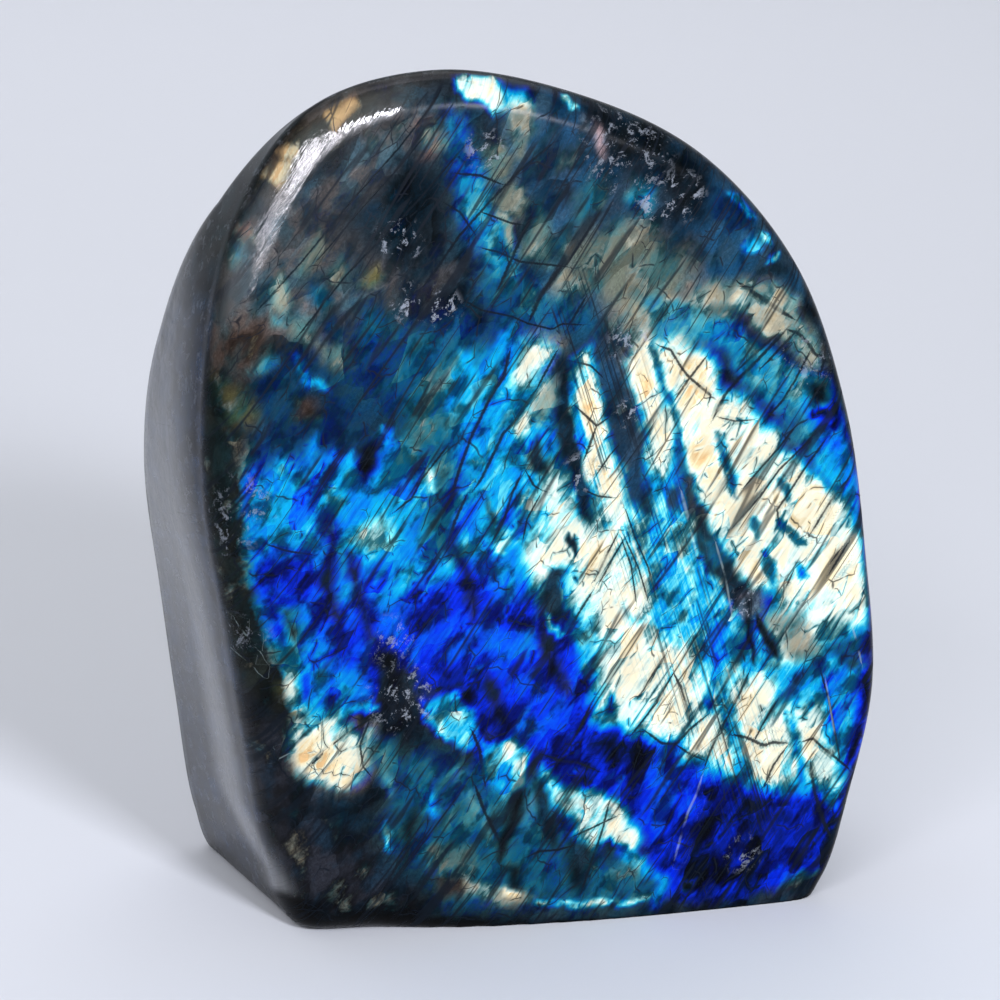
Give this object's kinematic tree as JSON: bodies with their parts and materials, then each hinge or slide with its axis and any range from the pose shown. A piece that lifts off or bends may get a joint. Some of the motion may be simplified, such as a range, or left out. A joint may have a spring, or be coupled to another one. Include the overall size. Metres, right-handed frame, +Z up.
{
  "type": "polished labradorite freeform",
  "caption": "Free-standing polished labradorite slab with a rounded outline, soft edges, a flat sawn base and an iridescent blue, cyan and cream front face.",
  "frame": {"origin": "centre of the bounding box in plan, on the flat base that the stone stands on", "axes": "+Z up, the colourful front face looks along -Y, +X along the width, to the right as seen from the front"},
  "size_m": [0.1424, 0.0722, 0.171],
  "materials": {
    "labradorite": "polished, glossy, with an iridescent blue to cream play of colour on the front face and dark grey elsewhere"
  },
  "bodies": {
    "root": {"labradorite_freeform": "labradorite"}
  },
  "joints": []
}
